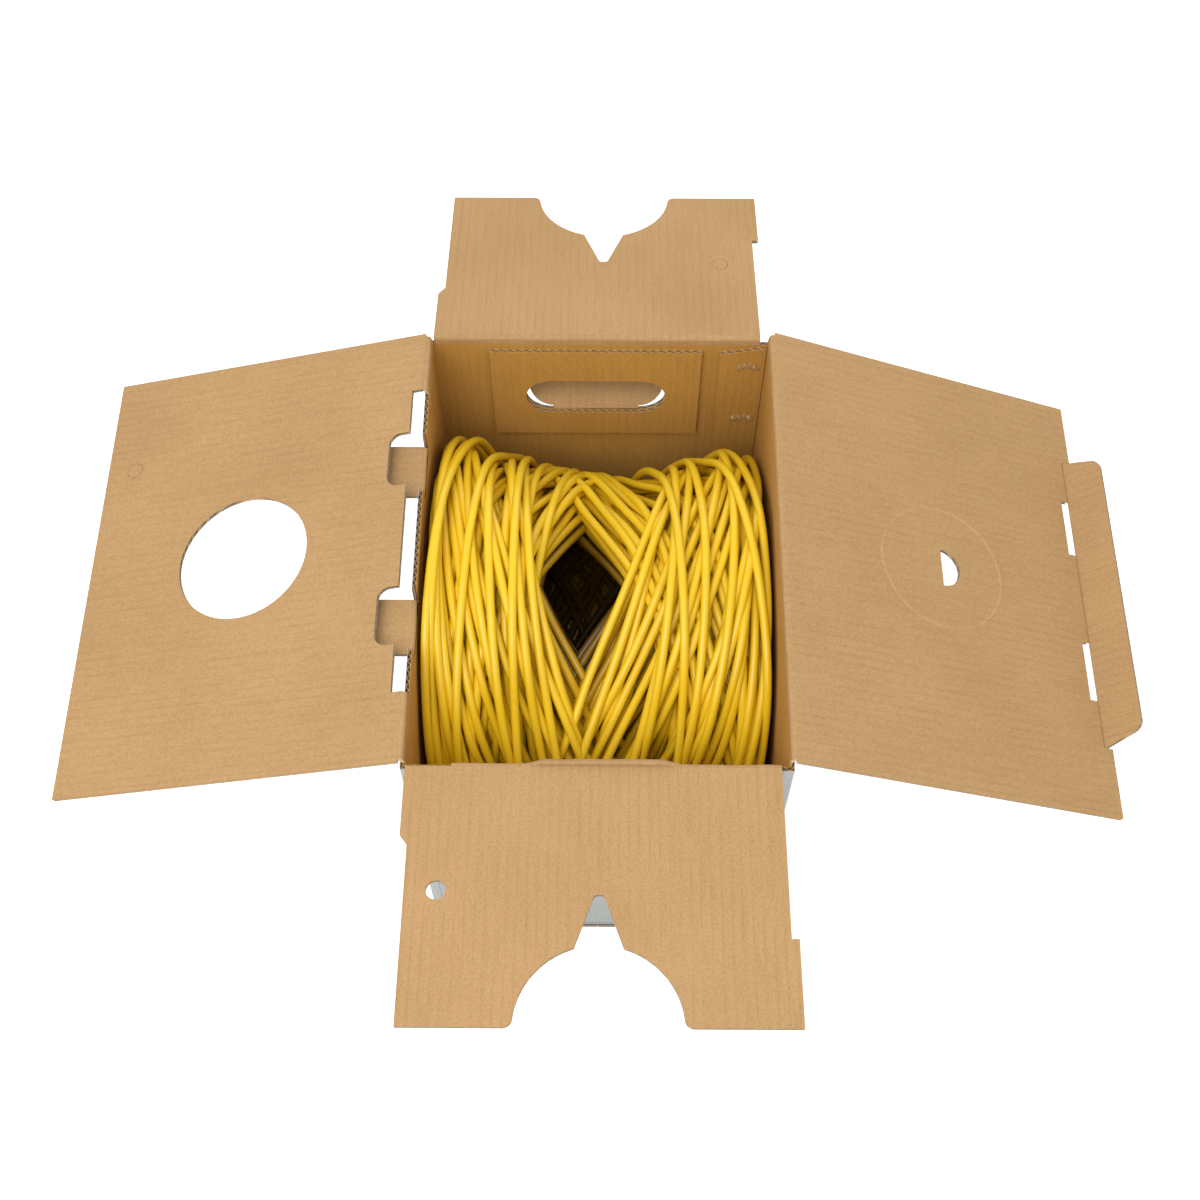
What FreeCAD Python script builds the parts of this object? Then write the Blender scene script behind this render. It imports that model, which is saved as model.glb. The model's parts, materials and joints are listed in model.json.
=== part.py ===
import FreeCAD, Part
import math
import os
import Sketcher
from FreeCAD import Placement, Rotation, Vector

# An opened corrugated-board pull box with its coil of network cable.
#
# Frame: +X right, +Y back, +Z up. The origin is the centre of the base, on the surface it stands on.
# A flap is drawn flat in its own frame: +X runs out from its crease, +Y runs along the crease and
# +Z points to the board's inner liner. A wall is drawn with +X along it, +Y up and +Z outward.

doc = FreeCAD.newDocument("cable_pull_box")
sheet = doc.addObject("Spreadsheet::Sheet", "Dims")

# Driving dimensions, in millimetres and degrees.
DIMENSIONS = {
    # the box
    "board": 3.2,
    "box_width": 263.0,
    "box_depth": 357.0,
    "right_crease": 343.2,
    "crease_drop": 3.4,
    "crease_gap": 3.5,
    "flap_start": 0.6,
    "flap_side_gap": 1.0,
    "hole_radius": 50.8,
    "hole_shift": 2.0,
    "punch_radius": 6.5,
    "score_gap": 0.3,
    # hang of each open flap below the horizontal
    "front_hang": -3.5,
    "back_hang": 12.4,
    "left_hang": 15.8,
    "right_hang": 22.2,
    "tongue_hang": -40.0,
    "hand_flap_hang": -30.0,
    # front and back flaps
    "short_flap": 177.3,
    "wide_edge": 127.6,
    "narrow_edge": 122.6,
    "bump_end": 50.0,
    "bump_slant": 7.0,
    "shoulder_start": 120.0,
    "notch_radius": 53.0,
    "notch_lip": 6.0,
    "vee_half_width": 15.8,
    "vee_depth": 86.0,
    "vee_tip": 3.0,
    "vee_tip_radius": 2.7,
    "front_punch_side": 102.0,
    "back_knockout_side": 95.0,
    "punch_out": 88.5,
    # left flap, its slit and its lock tabs
    "left_length": 258.8,
    "slit_half": 125.5,
    "slit_width": 8.6,
    "tab_centre": 65.4,
    "tab_slot": 46.0,
    "tab_width": 43.6,
    "tab_reach": 24.0,
    "tab_drop": 20.7,
    "tab_corner": 9.0,
    "left_knockout_out": 235.5,
    "left_knockout_side": 93.0,
    # right flap, its knock-out and its tongue
    "right_length": 260.6,
    "tongue_crease": 256.5,
    "tongue_half": 123.5,
    "tongue_depth": 31.0,
    "tongue_slant": 9.0,
    "tongue_corner": 9.0,
    "lock_slot_half": 24.0,
    "lock_slot_centre": 62.0,
    "lock_slot_width": 9.2,
    "finger_radius": 15.2,
    # hand holes and the plates that back them
    "plate_width": 164.0,
    "plate_height": 108.0,
    "plate_shift": -3.5,
    "plate_drop": 9.5,
    "slot_width": 111.0,
    "slot_height": 42.0,
    "slot_drop": 46.3,
    "slot_clearance": 0.6,
    # joint strip in the back right corner
    "strip_width": 35.5,
    "strip_drop": 4.0,
    "strip_slant": 7.5,
    "strip_foot": 12.0,
    "corner_gap": 0.5,
    # base
    "base_flap": 131.0,
    "base_gap": 0.4,
    "tape_thickness": 0.3,
    "tape_width": 50.0,
    "tape_length": 350.0,
    # coil
    "coil_half_depth": 170.9,
    "coil_half_width": 126.0,
    "coil_shift": -1.5,
    "coil_core_depth": 86.0,
    "coil_core_height": 82.0,
    "coil_edge": 10.0,
    "coil_clearance": 0.4,
    "payout_half_width": 40.0,
    "payout_front": 98.0,
    "payout_back": 60.0,
    "payout_shift": -8.0,
}

for row, (alias, value) in enumerate(DIMENSIONS.items(), start=1):
    sheet.set(f"A{row}", alias.replace("_", " "))
    sheet.set(f"B{row}", str(value))
    sheet.setAlias(f"B{row}", alias)
doc.recompute()

# Heights that follow from the driving dimensions.
LEFT_CREASE = "(Dims.right_crease - Dims.crease_drop)"
SHORT_CREASE = "(Dims.right_crease - 2 * Dims.crease_drop)"
HALF_WIDTH = "Dims.box_width / 2"
HALF_DEPTH = "Dims.box_depth / 2"
SIDE_FOOT = "(Dims.tape_thickness + Dims.board)"
BASE_TOP = "(Dims.tape_thickness + 2 * Dims.board)"
SLOT_TOP = f"({SHORT_CREASE} - Dims.slot_drop)"
SLOT_BOTTOM = f"({SLOT_TOP} - Dims.slot_height)"

# The way that each side of the box faces, as a turn about Z from +X.
FACING = {"right": 0.0, "back": 90.0, "left": 180.0, "front": -90.0}

parts = []


def size(expression):
    """The number that an expression on the sheet comes to."""
    return float(sheet.evalExpression(expression))


def new_body(label):
    """A body that becomes one sub-part of the box."""
    body = doc.addObject("PartDesign::Body", label)
    body.Label = label
    parts.append(body)
    return body


def new_sketch(body, name, role="XY_Plane"):
    """A sketch on one of the body's own origin planes."""
    sketch = body.newObject("Sketcher::SketchObject", name)
    plane = [feature for feature in body.Origin.OriginFeatures if feature.Role == role][0]
    sketch.AttachmentSupport = [(plane, "")]
    sketch.MapMode = "FlatFace"
    return sketch


def fix_number(sketch, kind, geometry, point, expression):
    """Bind one coordinate of a sketch point to the sheet."""
    place = Sketcher.Constraint(kind, geometry, point, size(expression))
    index = sketch.addConstraint(place)
    sketch.setExpression(f"Constraints[{index}]", expression)


def add_outline(sketch, corners):
    """A closed outline of straight edges through corners given as pairs of expressions."""
    places = [Vector(size(across), size(along), 0) for across, along in corners]
    first = sketch.GeometryCount
    count = len(corners)
    for index in range(count):
        edge = Part.LineSegment(places[index], places[(index + 1) % count])
        sketch.addGeometry(edge, False)
    for index in range(count):
        following = first + (index + 1) % count
        sketch.addConstraint(Sketcher.Constraint("Coincident", first + index, 2, following, 1))
    for index, (across, along) in enumerate(corners):
        fix_number(sketch, "DistanceX", first + index, 1, across)
        fix_number(sketch, "DistanceY", first + index, 1, along)


def add_circle(sketch, across, along, radius):
    """A circle whose centre and radius are expressions."""
    centre = Vector(size(across), size(along), 0)
    index = sketch.addGeometry(Part.Circle(centre, Vector(0, 0, 1), size(radius)), False)
    fix_number(sketch, "DistanceX", index, 3, across)
    fix_number(sketch, "DistanceY", index, 3, along)
    bound = sketch.addConstraint(Sketcher.Constraint("Radius", index, size(radius)))
    sketch.setExpression(f"Constraints[{bound}]", radius)


def add_slot(sketch, centre, middle, half_run, radius):
    """A slot along X with round ends: two lines joined by two half circles."""
    x, y, run, r = size(centre), size(middle), size(half_run), size(radius)
    up = Vector(0, 0, 1)
    right_end = Part.ArcOfCircle(Part.Circle(Vector(x + run, y, 0), up, r), -math.pi / 2, math.pi / 2)
    left_end = Part.ArcOfCircle(Part.Circle(Vector(x - run, y, 0), up, r), math.pi / 2, 3 * math.pi / 2)
    top = Part.LineSegment(Vector(x + run, y + r, 0), Vector(x - run, y + r, 0))
    bottom = Part.LineSegment(Vector(x - run, y - r, 0), Vector(x + run, y - r, 0))
    first, second, third, fourth = (
        sketch.addGeometry(edge, False) for edge in (right_end, top, left_end, bottom)
    )
    sketch.addConstraint(Sketcher.Constraint("Tangent", first, 2, second, 1))
    sketch.addConstraint(Sketcher.Constraint("Tangent", second, 2, third, 1))
    sketch.addConstraint(Sketcher.Constraint("Tangent", third, 2, fourth, 1))
    sketch.addConstraint(Sketcher.Constraint("Tangent", fourth, 2, first, 1))
    fix_number(sketch, "DistanceX", first, 3, f"{centre} + {half_run}")
    fix_number(sketch, "DistanceY", first, 3, middle)
    fix_number(sketch, "DistanceX", third, 3, f"{centre} - {half_run}")
    fix_number(sketch, "DistanceY", third, 3, middle)
    bound = sketch.addConstraint(Sketcher.Constraint("Radius", first, r))
    sketch.setExpression(f"Constraints[{bound}]", radius)


def pad(body, sketch, thickness="Dims.board"):
    """Give a sketch the board's thickness."""
    feature = body.newObject("PartDesign::Pad", "Board")
    feature.Profile = sketch
    feature.setExpression("Length", thickness)
    doc.recompute()
    return feature


def cut_through(body, sketch):
    """Cut a sketch right through the board, and make sure that it removed something."""
    before = body.Shape.Volume
    feature = body.newObject("PartDesign::Pocket", "Cut")
    feature.Profile = sketch
    feature.Type = "ThroughAll"
    feature.Reversed = True
    doc.recompute()
    if body.Shape.Volume >= before:
        raise ValueError(f"{body.Label}: {sketch.Name} cut nothing")
    return feature


def round_edges(body, feature, corners, radius):
    """Round the edges that stand on the given corners of the board."""
    places = [Vector(size(across), size(along), 0) for across, along in corners]
    names = []
    for index, edge in enumerate(feature.Shape.Edges, start=1):
        start, end = edge.Vertexes[0].Point, edge.Vertexes[-1].Point
        upright = abs(start.x - end.x) < 1e-6 and abs(start.y - end.y) < 1e-6
        if upright and any(math.hypot(start.x - p.x, start.y - p.y) < 0.01 for p in places):
            names.append(f"Edge{index}")
    if len(names) != len(places):
        raise ValueError(f"{body.Label}: found {len(names)} of {len(places)} corners to round")
    fillet = body.newObject("PartDesign::Fillet", "Rounding")
    fillet.Base = (feature, names)
    fillet.setExpression("Radius", radius)
    doc.recompute()
    return fillet


def place_flap(body, side, hang, across, along, height):
    """Stand a flap at its crease, facing out of one side, hanging by the given angle."""
    turn = Rotation(Vector(0, 0, 1), FACING[side])
    tilt = Rotation(Vector(0, 1, 0), size(hang))
    body.Placement = Placement(Vector(0, 0, 0), turn.multiply(tilt))
    body.setExpression("Placement.Base.x", across)
    body.setExpression("Placement.Base.y", along)
    body.setExpression("Placement.Base.z", height)


def place_wall(body, side, across, along, height):
    """Stand a wall on end, with its outer liner facing out of one side."""
    turn = Rotation(Vector(0, 0, 1), FACING[side] + 90.0)
    body.Placement = Placement(Vector(0, 0, 0), turn.multiply(Rotation(Vector(1, 0, 0), 90.0)))
    body.setExpression("Placement.Base.x", across)
    body.setExpression("Placement.Base.y", along)
    body.setExpression("Placement.Base.z", height)


def box_corners(left, bottom, right, top):
    """The corners of an upright rectangle."""
    return [(left, bottom), (right, bottom), (right, top), (left, top)]


# Walls


def hand_hole_wall(label, side):
    """A front or back wall with its rounded hand hole."""
    sign = "-" if side == "front" else ""
    shift = "Dims.plate_shift" if side == "front" else "(-Dims.plate_shift)"
    body = new_body(label)
    outline = new_sketch(body, "WallOutline")
    top = f"{SHORT_CREASE} - Dims.crease_gap - {BASE_TOP}"
    add_outline(outline, box_corners(f"-{HALF_WIDTH}", "0", HALF_WIDTH, top))
    pad(body, outline)
    hole = new_sketch(body, "HandHole")
    middle = f"({SLOT_BOTTOM} + {SLOT_TOP}) / 2 - {BASE_TOP}"
    half_run = "(Dims.slot_width - Dims.slot_height) / 2"
    add_slot(hole, shift, middle, half_run, "Dims.slot_height / 2")
    cut_through(body, hole)
    inset = f"{sign}({HALF_DEPTH} - Dims.board)"
    place_wall(body, side, "0", inset, BASE_TOP)


def side_wall(label, side, crease):
    """A left or right wall. Only the left one is notched, where its lock tabs were cut out."""
    sign = "-" if side == "left" else ""
    half = f"({HALF_DEPTH} - Dims.board)"
    top = f"({crease} - Dims.crease_gap - {SIDE_FOOT})"
    body = new_body(label)
    outline = new_sketch(body, "WallOutline")
    add_outline(outline, box_corners(f"-{half}", "0", half, top))
    pad(body, outline)
    if side == "left":
        notches = new_sketch(body, "TabNotches")
        notch_foot = f"{crease} - Dims.tab_drop - {SIDE_FOOT}"
        for centre in ("-Dims.tab_centre", "Dims.tab_centre"):
            left_edge = f"{centre} - Dims.tab_slot / 2"
            right_edge = f"{centre} + Dims.tab_slot / 2"
            above = f"{top} + Dims.board"
            add_outline(notches, box_corners(left_edge, notch_foot, right_edge, above))
        cut_through(body, notches)
    place_wall(body, side, f"{sign}({HALF_WIDTH} - Dims.board)", "0", SIDE_FOOT)


def joint_strip():
    """The glued end of the blank, on the back wall beside the right corner, its top slanted."""
    body = new_body("joint_strip")
    outline = new_sketch(body, "StripOutline")
    right = f"{HALF_WIDTH} - Dims.board - Dims.corner_gap"
    left = f"{right} - Dims.strip_width"
    top = f"{SHORT_CREASE} - Dims.strip_drop"
    corners = [
        (f"-({left})", "Dims.strip_foot"),
        (f"-({left})", f"{top} - Dims.strip_slant"),
        (f"-({right})", top),
        (f"-({right})", "Dims.strip_foot"),
    ]
    add_outline(outline, corners)
    pad(body, outline)
    place_wall(body, "back", "0", f"{HALF_DEPTH} - 2 * Dims.board", "0")


# Hand-hole plates and the flaps cut from the walls at the hand holes


def handle_plate(label, side):
    """The board glued inside a wall, with the same slot as the hand hole."""
    sign = "-" if side == "front" else ""
    shift = "Dims.plate_shift" if side == "front" else "(-Dims.plate_shift)"
    body = new_body(label)
    outline = new_sketch(body, "PlateOutline")
    top = f"({SHORT_CREASE} - Dims.plate_drop)"
    left_edge = f"{shift} - Dims.plate_width / 2"
    right_edge = f"{shift} + Dims.plate_width / 2"
    add_outline(outline, box_corners(left_edge, f"{top} - Dims.plate_height", right_edge, top))
    pad(body, outline)
    hole = new_sketch(body, "HandHole")
    half_run = "(Dims.slot_width - Dims.slot_height) / 2"
    add_slot(hole, shift, f"({SLOT_BOTTOM} + {SLOT_TOP}) / 2", half_run, "Dims.slot_height / 2")
    cut_through(body, hole)
    place_wall(body, side, "0", f"{sign}({HALF_DEPTH} - 2 * Dims.board)", "0")


def hand_hole_flap(label, side):
    """The tongue of board that the hand hole leaves, folded out on the hole's bottom edge."""
    sign = "-" if side == "front" else ""
    body = new_body(label)
    outline = new_sketch(body, "FlapOutline")
    radius = "(Dims.slot_height / 2 - Dims.slot_clearance)"
    add_slot(outline, "0", "0", "(Dims.slot_width - Dims.slot_height) / 2", radius)
    board = pad(body, outline)
    place_along_crease(board, outline)
    place_flap(body, side, "Dims.hand_flap_hang", "Dims.plate_shift", f"{sign}{HALF_DEPTH}", SLOT_BOTTOM)


def place_along_crease(board, outline):
    """Turn a slot drawn along X so that it runs along the crease, one edge just clear of it."""
    offset = Placement(Vector(0, 0, 0), Rotation(Vector(0, 0, 1), 90.0))
    outline.AttachmentOffset = offset
    outline.setExpression("AttachmentOffset.Base.x", "Dims.slot_height / 2")
    doc.recompute()
    if board.Shape.BoundBox.XMin <= 0:
        raise ValueError("a hand-hole flap crosses its crease")


# Top flaps


def short_flap(label, side):
    """A half-length flap: half-round and V notch in its outer edge, stepped side edges."""
    hang = f"Dims.{side}_hang"
    sign = "-" if side == "front" else ""
    bump = "-1" if side == "front" else "1"
    middle = f"(-{bump} * Dims.hole_shift)"
    body = new_body(label)
    outline = new_sketch(body, "FlapOutline")
    wide = f"{bump} * Dims.wide_edge"
    narrow = f"{bump} * Dims.narrow_edge"
    corners = [
        ("Dims.flap_start", wide),
        ("Dims.bump_end", wide),
        ("Dims.bump_end + Dims.bump_slant", narrow),
        ("Dims.short_flap", narrow),
        ("Dims.short_flap", f"-{wide}"),
        ("Dims.shoulder_start", f"-{wide}"),
        ("Dims.shoulder_start", f"-{narrow}"),
        ("Dims.flap_start", f"-{narrow}"),
    ]
    add_outline(outline, corners)
    pad(body, outline)
    vee = new_sketch(body, "VeeNotch")
    vee_base = "Dims.short_flap - sqrt(Dims.notch_radius^2 - Dims.vee_half_width^2)"
    vee_corners = [
        ("Dims.short_flap - Dims.vee_depth", f"{middle} - Dims.vee_tip"),
        (vee_base, f"{middle} - Dims.vee_half_width"),
        ("Dims.short_flap", f"{middle} - Dims.vee_half_width"),
        ("Dims.short_flap", f"{middle} + Dims.vee_half_width"),
        (vee_base, f"{middle} + Dims.vee_half_width"),
        ("Dims.short_flap - Dims.vee_depth", f"{middle} + Dims.vee_tip"),
    ]
    add_outline(vee, vee_corners)
    notched = cut_through(body, vee)
    tips = [vee_corners[0], vee_corners[-1]]
    round_edges(body, notched, tips, "Dims.vee_tip_radius")
    half_round = new_sketch(body, "HalfRound")
    add_circle(half_round, "Dims.short_flap", middle, "Dims.notch_radius")
    open_edge = cut_through(body, half_round)
    lips = [("Dims.short_flap", f"{middle} {way} Dims.notch_radius") for way in ("-", "+")]
    round_edges(body, open_edge, lips, "Dims.notch_lip")
    hole = new_sketch(body, "PunchedHole")
    if side == "front":
        add_circle(hole, "Dims.punch_out", "-Dims.front_punch_side", "Dims.punch_radius")
    else:
        add_circle(hole, "Dims.punch_out", "-Dims.back_knockout_side", "Dims.punch_radius")
    cut_through(body, hole)
    place_flap(body, side, hang, "0", f"{sign}{HALF_DEPTH}", SHORT_CREASE)


def round_knockout(label, side, hang, out, along, crease_place):
    """A small scored disc that still fills its hole in a flap."""
    body = new_body(label)
    disc = new_sketch(body, "Disc")
    add_circle(disc, out, along, "Dims.punch_radius - Dims.score_gap")
    pad(body, disc)
    place_flap(body, side, hang, *crease_place)


def left_flap():
    """The flap with the payout hole, the slit for the tongue and the lock-tab holes."""
    half = f"({HALF_DEPTH} - Dims.flap_side_gap)"
    body = new_body("left_flap")
    outline = new_sketch(body, "FlapOutline")
    add_outline(outline, box_corners("Dims.flap_start", f"-{half}", "Dims.left_length", half))
    pad(body, outline)
    slit = new_sketch(body, "Slit")
    slit_corners = box_corners("0", "-Dims.slit_half", "Dims.slit_width", "Dims.slit_half")
    add_outline(slit, slit_corners)
    cut_through(body, slit)
    openings = new_sketch(body, "TabHoles")
    rounded = []
    for centre in ("-Dims.tab_centre", "Dims.tab_centre"):
        near = f"{centre} - Dims.tab_slot / 2"
        far = f"{centre} + Dims.tab_slot / 2"
        add_outline(openings, box_corners("0", near, "Dims.tab_reach", far))
        rounded += [("Dims.tab_reach", near), ("Dims.tab_reach", far)]
    opened = cut_through(body, openings)
    round_edges(body, opened, rounded, "Dims.tab_corner")
    holes = new_sketch(body, "PayoutHole")
    add_circle(holes, f"{HALF_WIDTH} + Dims.hole_shift", "0", "Dims.hole_radius")
    add_circle(holes, "Dims.left_knockout_out", "-Dims.left_knockout_side", "Dims.punch_radius")
    cut_through(body, holes)
    place_flap(body, "left", "Dims.left_hang", f"-{HALF_WIDTH}", "0", LEFT_CREASE)


def lock_tab(label, centre):
    """A tab cut from the left wall, folded out level below the open left flap."""
    half = "Dims.tab_width / 2"
    reach = "Dims.tab_drop + Dims.tab_reach - Dims.flap_start"
    body = new_body(label)
    outline = new_sketch(body, "TabOutline")
    corners = box_corners("Dims.flap_start", f"{centre} - {half}", reach, f"{centre} + {half}")
    add_outline(outline, corners)
    board = pad(body, outline)
    round_edges(body, board, corners[1:3], "Dims.tab_corner")
    height = f"{LEFT_CREASE} - Dims.tab_drop"
    place_flap(body, "left", "0", f"-{HALF_WIDTH}", "0", height)


def right_flap():
    """The outermost flap, with a large perforated disc and two slots beside its tongue."""
    half = f"({HALF_DEPTH} - Dims.flap_side_gap)"
    edge = "(Dims.tongue_crease - Dims.crease_gap)"
    body = new_body("right_flap")
    outline = new_sketch(body, "FlapOutline")
    corners = [
        ("Dims.flap_start", f"-{half}"),
        ("Dims.right_length", f"-{half}"),
        ("Dims.right_length", "-Dims.tongue_half"),
        (edge, "-Dims.tongue_half"),
        (edge, "Dims.tongue_half"),
        ("Dims.right_length", "Dims.tongue_half"),
        ("Dims.right_length", half),
        ("Dims.flap_start", half),
    ]
    add_outline(outline, corners)
    pad(body, outline)
    slots = new_sketch(body, "LockSlots")
    for centre in ("-Dims.lock_slot_centre", "Dims.lock_slot_centre"):
        near = f"{centre} - Dims.lock_slot_half"
        far = f"{centre} + Dims.lock_slot_half"
        inner = "Dims.tongue_crease - Dims.lock_slot_width"
        add_outline(slots, box_corners(inner, near, "Dims.tongue_crease", far))
    cut_through(body, slots)
    hole = new_sketch(body, "DiscHole")
    add_circle(hole, f"{HALF_WIDTH} - Dims.hole_shift", "0", "Dims.hole_radius")
    cut_through(body, hole)
    place_flap(body, "right", "Dims.right_hang", HALF_WIDTH, "0", "Dims.right_crease")


def payout_disc():
    """The perforated disc that is pushed out of the right flap, with its D-shaped finger hole."""
    body = new_body("payout_knockout_disc")
    disc = new_sketch(body, "Disc")
    centre = f"({HALF_WIDTH} - Dims.hole_shift)"
    add_circle(disc, centre, "0", "Dims.hole_radius - Dims.score_gap")
    pad(body, disc)
    finger = new_sketch(body, "FingerHole")
    x, r = size(centre), size("Dims.finger_radius")
    bow = Part.ArcOfCircle(Part.Circle(Vector(x, 0, 0), Vector(0, 0, 1), r), -math.pi / 2, math.pi / 2)
    arc = finger.addGeometry(bow, False)
    flat = finger.addGeometry(Part.LineSegment(Vector(x, r, 0), Vector(x, -r, 0)), False)
    finger.addConstraint(Sketcher.Constraint("Coincident", arc, 2, flat, 1))
    finger.addConstraint(Sketcher.Constraint("Coincident", flat, 2, arc, 1))
    finger.addConstraint(Sketcher.Constraint("PointOnObject", arc, 3, flat))
    fix_number(finger, "DistanceX", flat, 1, centre)
    fix_number(finger, "DistanceY", flat, 1, "Dims.finger_radius")
    fix_number(finger, "DistanceX", flat, 2, centre)
    fix_number(finger, "DistanceY", flat, 2, "-Dims.finger_radius")
    cut_through(body, finger)
    place_flap(body, "right", "Dims.right_hang", HALF_WIDTH, "0", "Dims.right_crease")


def tongue():
    """The tuck tongue, hinged on the right flap's outer edge, its ends slanted."""
    body = new_body("right_flap_tongue")
    outline = new_sketch(body, "TongueOutline")
    corners = [
        ("Dims.flap_start", "-Dims.tongue_half"),
        ("Dims.tongue_depth", "-Dims.tongue_half + Dims.tongue_slant"),
        ("Dims.tongue_depth", "Dims.tongue_half - Dims.tongue_slant"),
        ("Dims.flap_start", "Dims.tongue_half"),
    ]
    add_outline(outline, corners)
    board = pad(body, outline)
    round_edges(body, board, corners[1:3], "Dims.tongue_corner")
    across = f"{HALF_WIDTH} + Dims.tongue_crease * cos(Dims.right_hang * 1deg)"
    height = "Dims.right_crease - Dims.tongue_crease * sin(Dims.right_hang * 1deg)"
    place_flap(body, "right", "Dims.tongue_hang", across, "0", height)


# Base


def base_flap(label, side):
    """One of the four base flaps: the side ones lie outermost and meet along the middle."""
    body = new_body(label)
    outline = new_sketch(body, "BaseOutline")
    if side in ("left", "right"):
        half = f"({HALF_DEPTH} - Dims.base_gap)"
        corners = box_corners("0", f"-{half}", "Dims.base_flap", half)
        start = "-" if side == "left" else ""
        place = (f"{start}{HALF_WIDTH}", "0", "Dims.tape_thickness")
    else:
        half = f"({HALF_WIDTH} - Dims.board - Dims.base_gap)"
        corners = box_corners("0", f"-{half}", "Dims.base_flap", half)
        start = "-" if side == "front" else ""
        place = ("0", f"{start}{HALF_DEPTH}", SIDE_FOOT)
    add_outline(outline, corners)
    pad(body, outline)
    inward = {"left": "right", "right": "left", "front": "back", "back": "front"}[side]
    place_flap(body, inward, "0", *place)


def base_tape():
    """The strip of tape along the seam between the two outermost base flaps."""
    tape = doc.addObject("Part::Box", "bottom_tape")
    tape.Label = "bottom_tape"
    parts.append(tape)
    tape.setExpression("Length", "Dims.tape_width")
    tape.setExpression("Width", "Dims.tape_length")
    tape.setExpression("Height", "Dims.tape_thickness")
    tape.setExpression("Placement.Base.x", "-Dims.tape_width / 2")
    tape.setExpression("Placement.Base.y", "-Dims.tape_length / 2")


# Coil


def cable_coil():
    """The wound coil: an oval drum on a left-right axis, hollow, with its payout hole on top."""
    coil = doc.addObject("Part::Feature", "cable_coil")
    coil.Label = "cable_coil"
    parts.append(coil)
    floor = size(f"{BASE_TOP} + Dims.coil_clearance")
    ceiling = size(f"{SHORT_CREASE} - Dims.board - Dims.coil_clearance")
    half_height = (ceiling - floor) / 2
    middle = Vector(0, size("Dims.coil_shift"), (ceiling + floor) / 2)
    half_width = size("Dims.coil_half_width")
    outer = oval_drum(middle, size("Dims.coil_half_depth"), half_height, half_width)
    outer = outer.makeFillet(size("Dims.coil_edge"), [e for e in outer.Edges if is_rim(e)])
    core = oval_drum(middle, size("Dims.coil_core_depth"), size("Dims.coil_core_height"), half_width + 1)
    across = size("Dims.payout_half_width")
    centre = size("Dims.payout_shift")
    diamond = [
        Vector(centre, middle.y - size("Dims.payout_front"), middle.z),
        Vector(centre + across, middle.y, middle.z),
        Vector(centre, middle.y + size("Dims.payout_back"), middle.z),
        Vector(centre - across, middle.y, middle.z),
    ]
    payout = Part.Face(Part.makePolygon(diamond + diamond[:1])).extrude(Vector(0, 0, half_height + 1))
    coil.Shape = outer.cut(core).cut(payout)


def oval_drum(middle, half_depth, half_height, half_width):
    """A drum of oval section whose axis runs left to right."""
    ellipse = Part.Ellipse(Vector(0, 0, 0), half_depth, half_height)
    face = Part.Face(Part.Wire(ellipse.toShape()))
    drum = face.extrude(Vector(0, 0, 2 * half_width))
    drum.translate(Vector(0, 0, -half_width))
    upright = Rotation(Vector(0, 1, 0), Vector(0, 0, 1), Vector(1, 0, 0), "XYZ")
    drum.Placement = Placement(middle, upright).multiply(drum.Placement)
    return drum


def is_rim(edge):
    """True for an edge round the end of a drum, false for the seam along it."""
    return edge.BoundBox.XLength < 1e-3


for side in ("front", "back"):
    hand_hole_wall(f"{side}_wall", side)
    handle_plate(f"handle_plate_{side}", side)
    hand_hole_flap(f"hand_hole_flap_{side}", side)
    short_flap(f"{side}_flap", side)
    base_flap(f"bottom_inner_flap_{side}", side)
side_wall("left_wall", "left", LEFT_CREASE)
side_wall("right_wall", "right", "Dims.right_crease")
joint_strip()
left_flap()
right_flap()
payout_disc()
tongue()
lock_tab("lock_tab_rear", "-Dims.tab_centre")
lock_tab("lock_tab_front", "Dims.tab_centre")
round_knockout(
    "left_flap_knockout", "left", "Dims.left_hang", "Dims.left_knockout_out",
    "-Dims.left_knockout_side", (f"-{HALF_WIDTH}", "0", LEFT_CREASE),
)
round_knockout(
    "back_flap_knockout", "back", "Dims.back_hang", "Dims.punch_out",
    "-Dims.back_knockout_side", ("0", HALF_DEPTH, SHORT_CREASE),
)
for side in ("left", "right"):
    base_flap(f"bottom_outer_flap_{side}", side)
base_tape()
cable_coil()
doc.recompute()

# Nothing is written unless every object is sound.
for item in doc.Objects:
    if "Invalid" in item.State or "Error" in item.State:
        raise ValueError(f"{item.Label} failed: {item.State}")
for part in parts:
    if part.Shape.isNull() or not part.Shape.isValid():
        raise ValueError(f"{part.Label} has no valid shape")

os.makedirs("parts", exist_ok=True)
for part in parts:
    part.Shape.exportStep(f"parts/{part.Label}.step")
    box = part.Shape.BoundBox
    print(
        f"{part.Label:28s} {part.Shape.Volume / 1000:9.1f} cm3  "
        f"x {box.XMin:7.1f} {box.XMax:7.1f}  y {box.YMin:7.1f} {box.YMax:7.1f}  "
        f"z {box.ZMin:7.1f} {box.ZMax:7.1f}"
    )
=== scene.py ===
import json
import math

import bmesh
import bpy
import numpy as np
from mathutils import Matrix, Vector

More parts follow.
